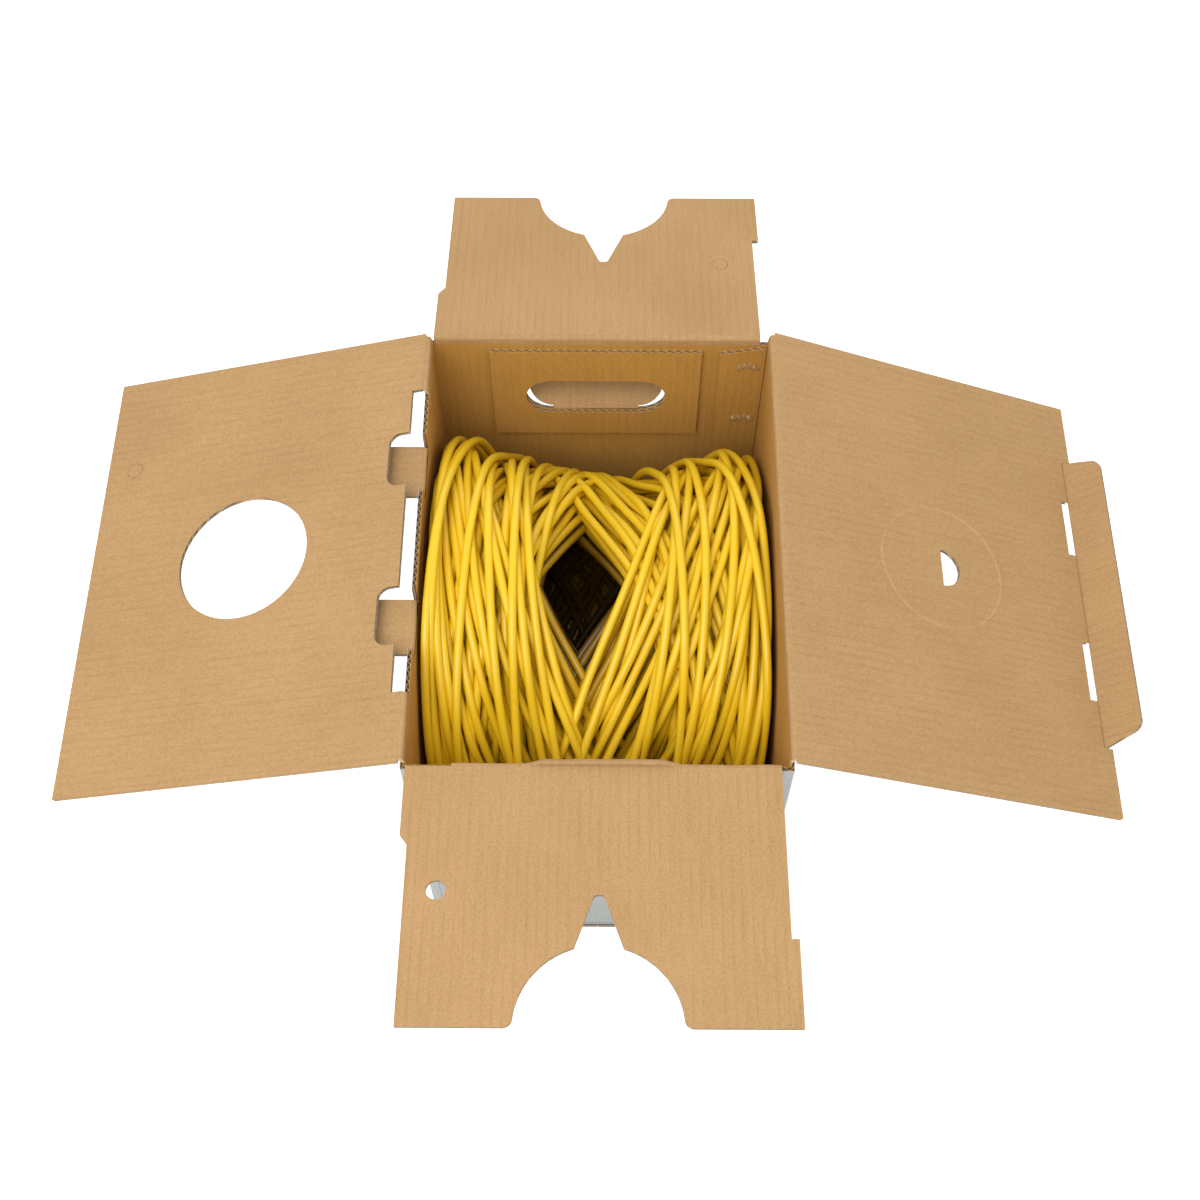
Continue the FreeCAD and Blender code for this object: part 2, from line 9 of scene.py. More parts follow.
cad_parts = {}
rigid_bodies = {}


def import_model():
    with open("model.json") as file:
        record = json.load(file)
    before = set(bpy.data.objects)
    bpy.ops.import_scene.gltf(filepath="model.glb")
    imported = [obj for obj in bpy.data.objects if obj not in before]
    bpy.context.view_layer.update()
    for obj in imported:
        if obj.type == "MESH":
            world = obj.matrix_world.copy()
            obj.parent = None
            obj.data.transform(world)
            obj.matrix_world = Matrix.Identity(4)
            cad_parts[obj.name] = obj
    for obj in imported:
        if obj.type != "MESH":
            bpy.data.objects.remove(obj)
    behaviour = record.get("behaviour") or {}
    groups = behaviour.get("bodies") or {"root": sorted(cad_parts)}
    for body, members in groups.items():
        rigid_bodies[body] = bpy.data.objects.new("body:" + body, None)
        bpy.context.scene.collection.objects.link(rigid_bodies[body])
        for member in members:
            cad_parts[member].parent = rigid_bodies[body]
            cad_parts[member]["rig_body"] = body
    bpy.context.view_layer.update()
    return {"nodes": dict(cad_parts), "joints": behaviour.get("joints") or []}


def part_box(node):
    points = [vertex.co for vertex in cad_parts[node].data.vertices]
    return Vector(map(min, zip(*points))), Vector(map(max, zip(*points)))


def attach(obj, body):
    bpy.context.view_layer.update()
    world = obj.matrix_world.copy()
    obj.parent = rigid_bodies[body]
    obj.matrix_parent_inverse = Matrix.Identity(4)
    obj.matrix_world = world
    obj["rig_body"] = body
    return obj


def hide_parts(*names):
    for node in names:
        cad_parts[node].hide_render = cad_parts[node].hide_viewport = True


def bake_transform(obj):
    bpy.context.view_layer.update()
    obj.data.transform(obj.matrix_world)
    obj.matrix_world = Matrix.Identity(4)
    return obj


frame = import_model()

# An opened corrugated-board pull box with its figure-8 wound coil of network cable.
# Everything is in metres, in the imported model's frame: +X right, +Y back, +Z up.

MM = 0.001
WELD = 0.002 * MM

# Camera: the reference view, from above the front edge of the box.
CAMERA_PLACE = Vector((0.0046, -0.6259, 1.3743))
CAMERA_DOWN = math.radians(61.01)
CAMERA_TURN = math.radians(0.344)
CAMERA_LENS = 50.75

# Cable: its size, and how finely its centreline and the height of the coil are worked out.
CABLE = 6.4 * MM
CABLE_LENGTH = 305.0
SECTIONS = 6
LAST_TURN = 1.2
INNER_SIDES = 8
OUTER_SIDES = 12
FINE_STEP = 2.6 * MM
POINTS_KEPT = 3
CELL = 2.0 * MM
ANGLE_CELLS = 540

# Winding: a figure-8 whose payout hole leans forward and widens as the coil grows.
CORE_RADIUS = 88.0 * MM
OUTER_RADIUS = 163.0 * MM
INNER_HOLE_ANGLE = math.radians(86.5)
OUTER_HOLE_ANGLE = math.radians(102.5)
INNER_HOLE = 33.0 * MM
OUTER_HOLE = 40.0 * MM
HOLE_SHIFT = -15.0 * MM
FIRST_PHASE = math.radians(160.0)
FIRST_WAY = 1
TURN_GAIN = math.radians(3.8)
GAIN_SPREAD = 0.35
WANDER = 0.9 * MM
SHORT_REACH = 0.45
REACH_BIAS = 2.0
TRIALS = 5
WINDING_SEED = 11

# How a cable settles: what it is pressed to, in parts of its diameter, and the dips it bridges.
INNER_PRESS = 0.58
OUTER_PRESS = 0.95
PRESS_UNTIL = 0.7
DEEPEST_DIP = 8.0 * MM
SINK = 0.35
TOP_REACH = 3
SMOOTH_REACH = 13
SETTLE_REACH = 5
JOIN_REACH = 3

# Corrugated board: liners with a wavy sheet between them.
LINER = 0.35 * MM
FLUTE_SHEET = 0.3 * MM
FLUTE_PITCH = 6.5 * MM
FLUTE_STEPS = 8
SIDE_NODES = {
    "left_wall", "left_flap", "left_flap_knockout", "lock_tab_rear", "lock_tab_front",
    "right_wall", "right_flap", "right_flap_tongue", "payout_knockout_disc",
    "bottom_outer_flap_left", "bottom_outer_flap_right",
}
WALL_NODES = ("front_wall", "back_wall", "left_wall", "right_wall")
LINED_NODES = ("joint_strip", "handle_plate_front", "handle_plate_back")
PLAIN_NODES = ("cable_coil", "bottom_tape")

# Creases: joint, then the panels on its parent and its child.
CREASES = [
    ("front_flap_hinge", "front_wall", "front_flap"),
    ("back_flap_hinge", "back_wall", "back_flap"),
    ("left_flap_hinge", "left_wall", "left_flap"),
    ("right_flap_hinge", "right_wall", "right_flap"),
    ("tongue_hinge", "right_flap", "right_flap_tongue"),
    ("lock_tab_rear_hinge", "left_wall", "lock_tab_rear"),
    ("lock_tab_front_hinge", "left_wall", "lock_tab_front"),
    ("hand_hole_flap_back_hinge", "back_wall", "hand_hole_flap_back"),
    ("hand_hole_flap_front_hinge", "front_wall", "hand_hole_flap_front"),
]
CREASE_REACH = 6.0 * MM
CREASE_STEPS = 7
CREASE_STATION = 5.0 * MM
CRUSH = 0.45 * MM
CRUSH_SPREAD = 0.5 * MM
DENT_REACH = 2
EDGE_SLACK = 0.05 * MM
SHORTEST_CREASE = 1.0 * MM

# The front crease: torn open at its left end, and swollen near its middle.
SWOLLEN_JOINT = "front_flap_hinge"
TORN_UNTIL = -97.0 * MM
BULGE_START = -47.0 * MM
BULGE_END = 56.0 * MM
BULGE_TAPER = 12.0 * MM
BULGE_HEIGHT = 3.2 * MM

# Printed liner folded round the upright corners.
CORNER_RADIUS = 0.8 * MM
CORNER_LIFT = 0.35 * MM
CORNER_REACH = 7.0 * MM
CORNER_STEPS = 5

# Crimps: rows of three pricks that hold the joint strip.
CRIMP_FIRST = 21.0 * MM
CRIMP_EVERY = 68.0 * MM
CRIMP_INSET = 13.0 * MM
CRIMP_APART = 6.5 * MM
CRIMP_DROP = 2.5 * MM
CRIMP_SEED = 3
TONGUE_WIDTHS = (1.3 * MM, 2.2 * MM)
TONGUE_LENGTHS = (3.0 * MM, 4.6 * MM)
TONGUE_LIFTS = (1.6 * MM, 2.8 * MM)
TONGUE_TIP = 0.8 * MM
HOLE_REACH = 2.8 * MM
HOLE_WIDTH = 0.9 * MM
HOLE_LIFT = 0.05 * MM
PLATE_DEPTH = 0.3 * MM

# The scored circle round the payout knockout: steps out from the cut, and up from the liner.
SCORE_STEPS = 160
SCORE_SECTION = [
    (1.1 * MM, -0.3 * MM),
    (1.1 * MM, 0.02 * MM),
    (0.6 * MM, 0.45 * MM),
    (0.1 * MM, 0.0),
    (-0.5 * MM, 0.2 * MM),
    (-1.1 * MM, 0.02 * MM),
    (-1.1 * MM, -0.3 * MM),
]

# Colours, light then dark, as linear red, green and blue.
# LIT_KRAFT and SHADED_KRAFT are lit and shaded copies of one kraft liner: SHADED_KRAFT is painted shade,
# deeper and more orange, for the liner inside the box.
LIT_KRAFT = ((0.445, 0.272, 0.122), (0.405, 0.244, 0.106))
SHADED_KRAFT = ((0.52, 0.285, 0.066), (0.47, 0.252, 0.055))
SCORED_KRAFT = ((0.50, 0.315, 0.148), (0.46, 0.285, 0.128))
FLUTE_KRAFT = ((0.60, 0.42, 0.24), (0.44, 0.29, 0.155))
TAPE_BUFF = ((0.38, 0.25, 0.12), (0.30, 0.19, 0.09))
JACKET_YELLOW = ((0.79, 0.515, 0.013), (0.71, 0.46, 0.010))
PRINT_GREY = ((0.33, 0.34, 0.32, 1), (0.285, 0.30, 0.285, 1))
RULE_BLACK = (0.05, 0.05, 0.05, 1)
FOOT_BLACK = (0.02, 0.02, 0.022, 1)

# Painted shade on the jacket, darker towards the coil's core: a tint by share of the coil's radius, from
# the core outward.
CORE_PAINTED_SHADE = [
    (0.50, (0.04, 0.026, 0.015)),
    (0.57, (0.14, 0.10, 0.05)),
    (0.67, (0.75, 0.68, 0.55)),
    (0.78, (1, 1, 1)),
]

# On the walls: a thin printed rule above a black band along the foot.
RULE_HEIGHT = 13.6 * MM
RULE_WIDTH = 1.5 * MM
FOOT_HEIGHT = 9.8 * MM

# Studio.
FLOOR_HALF = 6.0
FLOOR_WHITE = (0.95, 0.95, 0.95, 1)
FLOOR_GLOW = 0.45
SKY_STRENGTH = 0.88
LIGHTS = [
    ("key", (-0.6, -1.0, 2.4), 1.6, 40),
    ("back_fill", (0.3, 1.6, 0.9), 1.2, 5),
]


def node_box(name):
    """Lowest corner, highest corner and middle of a CAD node."""
    low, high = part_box(name)
    return low, high, (low + high) / 2


# ---------------------------------------------------------------- camera


def make_camera():
    """The camera at the reference viewing angle, with no shift and no depth of field."""
    data = bpy.data.cameras.new("reference_camera")
    data.sensor_width = 36.0
    data.lens = CAMERA_LENS
    camera = bpy.data.objects.new("reference_camera", data)
    camera.location = CAMERA_PLACE
    camera.rotation_euler = (math.pi / 2 - CAMERA_DOWN, 0.0, CAMERA_TURN)
    bpy.context.scene.collection.objects.link(camera)
    bpy.context.scene.camera = camera


# ---------------------------------------------------------------- winding


class Winding:
    """A height field round the coil's axis that grows as cable is laid on it."""

    def __init__(self, half_width, outer_radius):
        self.half_width = half_width
        self.outer_radius = outer_radius
        self.columns = int(2 * half_width / CELL) + 3
        self.height = np.full((ANGLE_CELLS, self.columns), CORE_RADIUS)

    def cells(self, angle, across, radius):
        """Rows and columns of the cells round each place, their squared distance, and which exist."""
        row = angle / (2 * math.pi) * ANGLE_CELLS
        column = (across + self.half_width) / CELL + 1
        reach = np.arange(-2, 3)
        rows = np.floor(row)[:, None, None] + reach[None, :, None]
        columns = np.floor(column)[:, None, None] + reach[None, None, :]
        along = (rows - row[:, None, None]) * 2 * math.pi * radius / ANGLE_CELLS
        sideways = (columns - column[:, None, None]) * CELL
        rows, columns = np.broadcast_arrays(rows, columns)
        inside = (columns >= 0) & (columns < self.columns)
        rows = rows.astype(int) % ANGLE_CELLS
        columns = np.clip(columns, 0, self.columns - 1).astype(int)
        return rows, columns, along**2 + sideways**2, inside

    def rest(self, angle, across, thickness):
        """How far out a cable laid along this path sits, resting on what is already there."""
        half = thickness / 2
        rows, columns, apart, inside = self.cells(angle, across, self.outer_radius)
        lift = np.sqrt(np.clip(half**2 - apart, 0, None))
        level = np.where(inside & (apart < half**2), self.height[rows, columns] + lift, 0.0)
        return level.max(axis=(1, 2))

    def lay(self, angle, across, level, thickness):
        """Raise the height field to the top of a cable laid along this path."""
        half = thickness / 2
        rows, columns, apart, inside = self.cells(angle, across, self.outer_radius)
        top = level[:, None, None] + np.sqrt(np.clip(half**2 - apart, 0, None))
        keep = inside & (apart < half**2)
        np.maximum.at(self.height, (rows[keep], columns[keep]), top[keep])


def smooth(values, reach):
    """A running mean that favours the middle, with the ends held."""
    kernel = np.hanning(2 * reach + 3)[1:-1]
    kernel /= kernel.sum()
    padded = np.pad(values, reach, mode="edge")
    return np.convolve(padded, kernel, mode="valid")


def running_top(values, reach):
    """The highest value within reach of each place."""
    padded = np.pad(values, reach, mode="edge")
    stack = [padded[k:k + len(values)] for k in range(2 * reach + 1)]
    return np.max(stack, axis=0)


def wander(angle):
    """A smooth drift across the coil: three slow waves that never repeat in step."""
    waves = np.sin(1.37 * angle) + np.sin(2.71 * angle + 1.0) + 0.7 * np.sin(4.23 * angle + 2.0)
    return WANDER * waves


def hole_at(level):
    """The payout hole's angle and half width at a radius: it leans forward as the coil grows."""
    share = (level - CORE_RADIUS) / (OUTER_RADIUS - CORE_RADIUS)
    angle = INNER_HOLE_ANGLE + share * (OUTER_HOLE_ANGLE - INNER_HOLE_ANGLE)
    half_width = INNER_HOLE + share * (OUTER_HOLE - INNER_HOLE)
    return angle, half_width


def lobe_across(angle, part, reach, side):
    """Place across for one lobe of a figure-8, reaching out to one side of the coil."""
    wave = np.sin(part)
    return side * reach * wave + wander(angle) * (1 - wave**2) + HOLE_SHIFT * (1 - wave**2)


def settle(rest, limit):
    """A stiff cable's height over what it rests on: it bridges the dips between high places."""
    rest = np.maximum(rest, np.median(rest) - DEEPEST_DIP)
    bridge = smooth(running_top(rest, TOP_REACH), SMOOTH_REACH)
    bridge = np.maximum(bridge, rest - SINK * CABLE)
    return np.minimum(smooth(bridge, SETTLE_REACH), limit)


def pressed_size(share):
    """What a cable's diameter is pressed to, when this share of the cable has been wound."""
    late = max(0.0, (share - PRESS_UNTIL) / (1 - PRESS_UNTIL))
    return CABLE * (INNER_PRESS + (OUTER_PRESS - INNER_PRESS) * late)


def best_lobe(random, winding, angle, part, least, side, thickness):
    """Of a few lobes with random reaches, the one that lies lowest, and what it rests on."""
    best = None
    for _ in range(TRIALS):
        reach = winding.half_width - (winding.half_width - least) * random.random() ** REACH_BIAS
        across = lobe_across(angle, part, reach, side)
        rest = winding.rest(angle, across, thickness)
        score = float(np.mean(rest**4))
        if best is None or score < best[0]:
            best = (score, across, rest)
    return best[1], best[2]


def wind_coil(half_width, outer_radius, length):
    """Angle, place across and radius of the cable's centreline, from the core outward."""
    random = np.random.default_rng(WINDING_SEED)
    winding = Winding(half_width, outer_radius)
    limit = outer_radius - CABLE / 2
    way, side = FIRST_WAY, 1.0
    start = INNER_HOLE_ANGLE - 2 * FIRST_PHASE
    angles, acrosses, radii = [], [], []
    total = 0.0
    while total < length:
        level = min(max(CORE_RADIUS, float(np.median(winding.height))), limit)
        hole_angle, hole_half = hole_at(level)
        phase = ((hole_angle - start) / 2) % math.pi
        margin = math.asin(min(hole_half / half_width, 1.0))
        if not margin < phase + way * TURN_GAIN < math.pi - margin:
            way = -way
        advance = -2 * way * TURN_GAIN * (1 + GAIN_SPREAD * random.standard_normal())
        count = POINTS_KEPT * int(2 * math.pi * level / FINE_STEP / POINTS_KEPT)
        part = np.linspace(0, math.pi, count, endpoint=False)
        angle = start + part / math.pi * (2 * math.pi + advance)
        thickness = pressed_size(total / length)
        least = min(max(hole_half / math.sin(phase), SHORT_REACH * half_width), half_width)
        across, rest = best_lobe(random, winding, angle, part, least, side, thickness)
        centre = settle(rest, limit)
        winding.lay(angle, across, centre, thickness)
        angles.append(angle[::POINTS_KEPT])
        acrosses.append(across[::POINTS_KEPT])
        radii.append(centre[::POINTS_KEPT])
        steps = np.diff(angle) * (centre[1:] + centre[:-1]) / 2
        total += float(np.sum(np.hypot(np.hypot(steps, np.diff(across)), np.diff(centre))))
        start += 2 * math.pi + advance
        side = -side
    return np.concatenate(angles), np.concatenate(acrosses), smooth(np.concatenate(radii), JOIN_REACH)


# ---------------------------------------------------------------- cable


def coil_centreline():
    """The cable's centreline, cut to its length so that it ends under the coil."""
    low, high, middle = node_box("cable_coil")
    half_depth, half_height = (high.y - low.y) / 2, (high.z - low.z) / 2
    radius = (half_depth + half_height) / 2
    half_width = (high.x - low.x) / 2 - CABLE / 2
    angle, across, out = wind_coil(half_width, radius, CABLE_LENGTH + 2 * LAST_TURN)
    points = np.stack([
        middle.x + across,
        middle.y + out * np.cos(angle) * half_depth / radius,
        middle.z + out * np.sin(angle) * half_height / radius,
    ], axis=1)
    points[1:-1] = (points[:-2] + 2 * points[1:-1] + points[2:]) / 4
    run = np.concatenate([[0], np.cumsum(np.linalg.norm(np.diff(points, axis=0), axis=1))])
    late = np.flatnonzero(run > run[-1] - LAST_TURN)
    end = late[np.argmin(points[late, 2])]
    start = np.searchsorted(run, run[end] - CABLE_LENGTH)
    return points[start:end + 1], run[start:end + 1] - run[start]


def tube_mesh(name, points, radius, sides):
    """A closed round tube along points, its rings carried along without twist."""
    count = len(points)
    tangent = np.gradient(points, axis=0)
    tangent /= np.linalg.norm(tangent, axis=1)[:, None]
    outward = np.cross(tangent, [1.0, 0.0, 0.0])
    outward /= np.linalg.norm(outward, axis=1)[:, None]
    beside = np.cross(tangent, outward)
    turn = np.arange(sides) * 2 * math.pi / sides
    ring = np.cos(turn)[:, None] * outward[:, None, :] + np.sin(turn)[:, None] * beside[:, None, :]
    places = (points[:, None, :] + radius * ring).reshape(-1, 3)
    ring_start = np.arange(count - 1)[:, None] * sides
    here = np.arange(sides)[None, :]
    following = (here + 1) % sides
    ahead = ring_start + sides
    faces = np.stack([ring_start + here, ring_start + following, ahead + following, ahead + here], axis=-1)
    ends = [list(range(sides))[::-1], list(range((count - 1) * sides, count * sides))]
    mesh = bpy.data.meshes.new(name)
    mesh.from_pydata(places, [], faces.reshape(-1, 4).tolist() + ends)
    mesh.shade_smooth()
    piece = bpy.data.objects.new(name, mesh)
    bpy.context.scene.collection.objects.link(piece)
    return piece


def make_cable():
    """The whole cable in sections, each leaving the end of the one before."""
    points, run = coil_centreline()
    material = jacket_material()
    section = CABLE_LENGTH / SECTIONS
    for index in range(SECTIONS):
        last = index == SECTIONS - 1
        inside = np.flatnonzero((run >= index * section) & (run <= (index + 1) * section))
        path = points[inside[0]:inside[-1] + (1 if last else 2)]
        sides = OUTER_SIDES if index >= SECTIONS - 2 else INNER_SIDES
        piece = tube_mesh(f"cable_section_{index + 1}", path, CABLE / 2, sides)
        piece.data.materials.append(material)
        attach(piece, "case")
        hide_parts("cable_coil")


# ---------------------------------------------------------------- corrugated board


def add_piece(name, board, materials):
    """A welded mesh object from collected faces, with a material for each of them."""
    mesh = bpy.data.meshes.new(name)
    mesh.from_pydata([tuple(place) for place in board.vertices], [], board.faces)
    for material in materials:
        mesh.materials.append(material)
    mesh.polygons.foreach_set("material_index", board.materials)
    welded = bmesh.new()
    welded.from_mesh(mesh)
    bmesh.ops.remove_doubles(welded, verts=welded.verts, dist=WELD)
    welded.to_mesh(mesh)
    welded.free()
    piece = bpy.data.objects.new(name, mesh)
    bpy.context.scene.collection.objects.link(piece)
    return piece


def node_triangles(name):
    """Corners of a CAD node's triangles, as an array of count x 3 x 3."""
    mesh = frame["nodes"][name].data
    mesh.calc_loop_triangles()
    places = np.array([vertex.co for vertex in mesh.vertices])
    index = np.array([triangle.vertices[:] for triangle in mesh.loop_triangles])
    return places[index]


def inner_normal(triangles):
    """The way that the board's inner liner faces: up, or into the box on a wall."""
    cross = np.cross(triangles[:, 1] - triangles[:, 0], triangles[:, 2] - triangles[:, 0])
    area = np.linalg.norm(cross, axis=1)
    normal = cross[np.argmax(area)] / area.max()
    toward = (0, 0, 1) if abs(normal[2]) > 0.3 else -triangles.reshape(-1, 3).mean(axis=0)
    return normal if np.dot(normal, toward) > 0 else -normal


def board_frame(name, triangles):
    """Rows are the flutes' direction, the direction across them and the inner liner's normal."""
    normal = inner_normal(triangles)
    across = np.array([0.0, 1.0, 0.0]) if name in SIDE_NODES else np.array([1.0, 0.0, 0.0])
    along = np.cross(across, normal)
    return np.array([along, across, normal])


def inner_face(triangles, normal):
    """The triangles that lie in the inner liner's plane."""
    cross = np.cross(triangles[:, 1] - triangles[:, 0], triangles[:, 2] - triangles[:, 0])
    area = np.linalg.norm(cross, axis=1)
    facing = cross @ normal > 0.999 * area
    level = triangles @ normal
    return triangles[facing & (level.min(axis=1) > level.max() - 0.1 * MM)]


def outline_edges(flat):
    """The edges that only one of a face's triangles has, each as two points."""
    key = np.round(flat * 1e6).astype(np.int64)
    seen = {}
    for corners, keys in zip(flat, key):
        for k in range(3):
            start, end = tuple(keys[k]), tuple(keys[(k + 1) % 3])
            ends = (corners[k], corners[(k + 1) % 3])
            seen.setdefault((min(start, end), max(start, end)), []).append(ends)
    return np.array([found[0] for found in seen.values() if len(found) == 1])


def strips(edges, step):
    """Cut an outline into quads between lines of constant second coordinate, a step apart."""
    start, end = edges[:, 0], edges[:, 1]
    low, high = edges[:, :, 1].min(), edges[:, :, 1].max()
    regular = np.arange(math.floor(low / step), math.ceil(high / step) + 1) * step
    cuts = np.concatenate([regular[(regular > low) & (regular < high)], edges[:, :, 1].ravel()])
    cuts = np.unique(np.round(cuts, 6))
    quads = []
    for near, far in zip(cuts[:-1], cuts[1:]):
        if far - near < 1e-6:
            continue
        middle = (near + far) / 2
        spans = (start[:, 1] - middle) * (end[:, 1] - middle) < 0
        if not spans.any():
            continue
        first, last = start[spans], end[spans]
        slope = (last[:, 0] - first[:, 0]) / (last[:, 1] - first[:, 1])
        at_near = first[:, 0] + slope * (near - first[:, 1])
        at_far = first[:, 0] + slope * (far - first[:, 1])
        order = np.argsort(at_near + at_far)
        for left, right in zip(order[::2], order[1::2]):
            near_side = [(at_near[left], near), (at_near[right], near)]
            far_side = [(at_far[right], far), (at_far[left], far)]
            quads.append(near_side + far_side)
    return quads


def wave_level(across, thickness):
    """Height of the wavy sheet's middle at a place across the flutes."""
    amplitude = (thickness - 2 * LINER - FLUTE_SHEET) / 2
    return thickness / 2 + amplitude * math.sin(2 * math.pi * across / FLUTE_PITCH)


class BoardMesh:
    """Collects the faces of one piece of board."""

    def __init__(self):
        self.vertices = []
        self.faces = []
        self.materials = []

    def face(self, corners, material):
        start = len(self.vertices)
        self.vertices.extend(corners)
        self.faces.append(tuple(range(start, start + len(corners))))
        self.materials.append(material)

    def add_liner(self, flat, edges, bottom, top, material):
        """A thin sheet with the board's outline between two heights."""
        for corners in flat:
            self.face([(x, y, top) for x, y in corners], material)
            self.face([(x, y, bottom) for x, y in corners[::-1]], material)
        for start, end in edges:
            corners = [(*start, bottom), (*end, bottom), (*end, top), (*start, top)]
            self.face(corners, material)

    def add_flutes(self, edges, thickness, material):
        """The wavy sheet between the liners, closed along the cut edges."""
        for quad in strips(edges, FLUTE_PITCH / FLUTE_STEPS):
            top = [(x, y, wave_level(y, thickness) + FLUTE_SHEET / 2) for x, y in quad]
            bottom = [(x, y, level - FLUTE_SHEET) for x, y, level in top]
            self.face(top, material)
            self.face(bottom[::-1], material)
            self.face([bottom[0], bottom[3], top[3], top[0]], material)
            self.face([bottom[2], bottom[1], top[1], top[2]], material)
        for start, end in edges:
            if abs(start[1] - end[1]) < WELD:
                level = wave_level(start[1], thickness)
                low, high = level - FLUTE_SHEET / 2, level + FLUTE_SHEET / 2
                self.face([(*start, low), (*end, low), (*end, high), (*start, high)], material)

    def add_rings(self, rings, inner_sides, closed=False):
        """Skin a row of equal rings: the first sides are inner liner, the others outer liner."""
        pairs = list(zip(rings[:-1], rings[1:]))
        if closed:
            pairs.append((rings[-1], rings[0]))
        count = len(rings[0])
        for near, far in pairs:
            for k in range(count):
                following = (k + 1) % count
                corners = [near[k], far[k], far[following], near[following]]
                self.face(corners, 0 if k < inner_sides else 1)
        if not closed:
            self.face(list(rings[0]), 2)
            self.face(list(rings[-1][::-1]), 2)


def make_board(name, materials):
    """Corrugated board with a CAD node's own outline: two liners with the flutes between them."""
    triangles = node_triangles(name)
    axes = board_frame(name, triangles)
    face = inner_face(triangles, axes[2])
    flat = (face @ axes.T)[:, :, :2]
    levels = triangles @ axes[2]
    floor, thickness = levels.min(), levels.max() - levels.min()
    edges = outline_edges(flat)
    board = BoardMesh()
    board.add_liner(flat, edges, thickness - LINER, thickness, 0)
    board.add_liner(flat, edges, 0.0, LINER, 1)
    board.add_flutes(edges, thickness, 2)
    board.vertices = np.array(board.vertices) + (0.0, 0.0, floor)
    piece = add_piece(f"{name}_board", board, materials)
    piece.matrix_world = Matrix(axes.T.tolist()).to_4x4()
    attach(piece, frame["nodes"][name]["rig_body"])
    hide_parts(name)


# ---------------------------------------------------------------- creases


class CreaseSide:
    """One panel beside a crease: its way out from the crease, its inner normal and its edges there."""

    def __init__(self, name, hinge, axis):
        triangles = node_triangles(name)
        self.normal = board_frame(name, triangles)[2]
        self.away = np.cross(axis, self.normal)
        levels = (triangles - hinge) @ self.normal
        self.floor, self.top = levels.min(), levels.max()
        edges = outline_edges(inner_face(triangles, self.normal))
        out = (edges - hinge) @ self.away
        if np.abs(out).max() > out.max():
            self.away, out = -self.away, -out
        beside = (np.abs(out[:, 0] - out[:, 1]) < EDGE_SLACK) & (np.abs(out[:, 0]) < CREASE_REACH)
        self.gap = float(out[beside].mean()) if beside.any() else 0.0
        self.spans = [(row.min(), row.max()) for row in (edges[beside] - hinge) @ axis]

    def at(self, level):
        """Offset from the hinge line of the panel's end at a level through the board."""
        return self.gap * self.away + level * self.normal


def shared_spans(first, second):
    """Stretches along a crease where both panels have an edge."""
    spans = []
    for low_a, high_a in first:
        for low_b, high_b in second:
            low, high = max(low_a, low_b), min(high_a, high_b)
            if high - low > SHORTEST_CREASE:
                spans.append((low, high))
    return sorted(spans)


def crease_section(parent, child, crush):
    """Offsets round a crease: over the inner liner from parent to child, then back underneath."""
    convex = np.dot(parent.away + child.away, parent.normal + child.normal) <= 0
    blend = np.linspace(0, 1, CREASE_STEPS)
    if convex:
        ways = (1 - blend)[:, None] * parent.normal + blend[:, None] * child.normal
        ways /= np.linalg.norm(ways, axis=1)[:, None]
        ridge = ways * (parent.top - crush)
    else:
        mitre = (parent.normal + child.normal) / (1 + np.dot(parent.normal, child.normal))
        ridge = (mitre * (parent.top - crush))[None, :].repeat(CREASE_STEPS, axis=0)
    over = [parent.at(parent.top), *ridge, child.at(child.top)]
    under = [child.at(child.floor), child.normal * child.floor, parent.at(parent.floor)]
    return np.array(over + under)


def crease_lift(name, along):
    """How far a crease bulges out: the front one has swollen over part of its length."""
    if name != SWOLLEN_JOINT:
        return 0.0
    near = min(along - BULGE_START, BULGE_END - along) / BULGE_TAPER
    return BULGE_HEIGHT * min(max(near, 0.0), 1.0)


def make_crease(name, parent_node, child_node, materials):
    """The folded board that joins two panels."""
    joint = next(joint for joint in frame["joints"] if joint["name"] == name)
    hinge, axis = np.array(joint["pos_m"]), np.abs(np.array(joint["axis"]))
    parent, child = CreaseSide(parent_node, hinge, axis), CreaseSide(child_node, hinge, axis)
    random = np.random.default_rng(len(name))
    board = BoardMesh()
    for low, high in shared_spans(parent.spans, child.spans):
        if name == SWOLLEN_JOINT:
            low = max(low, TORN_UNTIL)
        count = max(2, int((high - low) / CREASE_STATION))
        stations = np.linspace(low, high, count + 1)
        dents = smooth(random.uniform(-1, 1, count + 1), DENT_REACH) * CRUSH_SPREAD
        rings = []
        for along, dent in zip(stations, dents):
            section = crease_section(parent, child, CRUSH + dent - crease_lift(name, along))
            rings.append(hinge + along * axis + section)
        board.add_rings(rings, CREASE_STEPS + 1)
    piece = add_piece(f"{name}_crease", board, materials)
    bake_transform(piece)


def make_creases():
    """Every crease, with the flutes' ghost across it."""
    under = [print_material("crease_print", 0), flute_material("crease_flute")]
    along_x = [kraft_material("kraft_crease_x", *LIT_KRAFT, 0.2, 0)] + under
    along_y = [kraft_material("kraft_crease_y", *LIT_KRAFT, 0.2, 1)] + under
    for name, parent_node, child_node in CREASES:
        make_crease(name, parent_node, child_node, along_y if child_node in SIDE_NODES else along_x)


# ---------------------------------------------------------------- corners, crimps and score line


def make_corners(materials):
    """The printed liner that folds round each upright corner of the case."""
    front, back = node_box("front_wall"), node_box("back_wall")
    left, right = node_box("left_wall"), node_box("right_wall")
    bottom, top = front[0].z, front[1].z
    board = BoardMesh()
    for corner_x, way_x in ((left[0].x, -1), (right[1].x, 1)):
        for corner_y, way_y in ((front[0].y, -1), (back[1].y, 1)):
            section = corner_section()
            if way_x * way_y < 0:
                section = section[::-1]
            places = np.array([corner_x, corner_y]) + section * (way_x, way_y)
            rings = [[(x, y, level) for x, y in places] for level in (bottom, top)]
            board.add_rings(rings, 0)
    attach(add_piece("corner_folds", board, materials), "case")


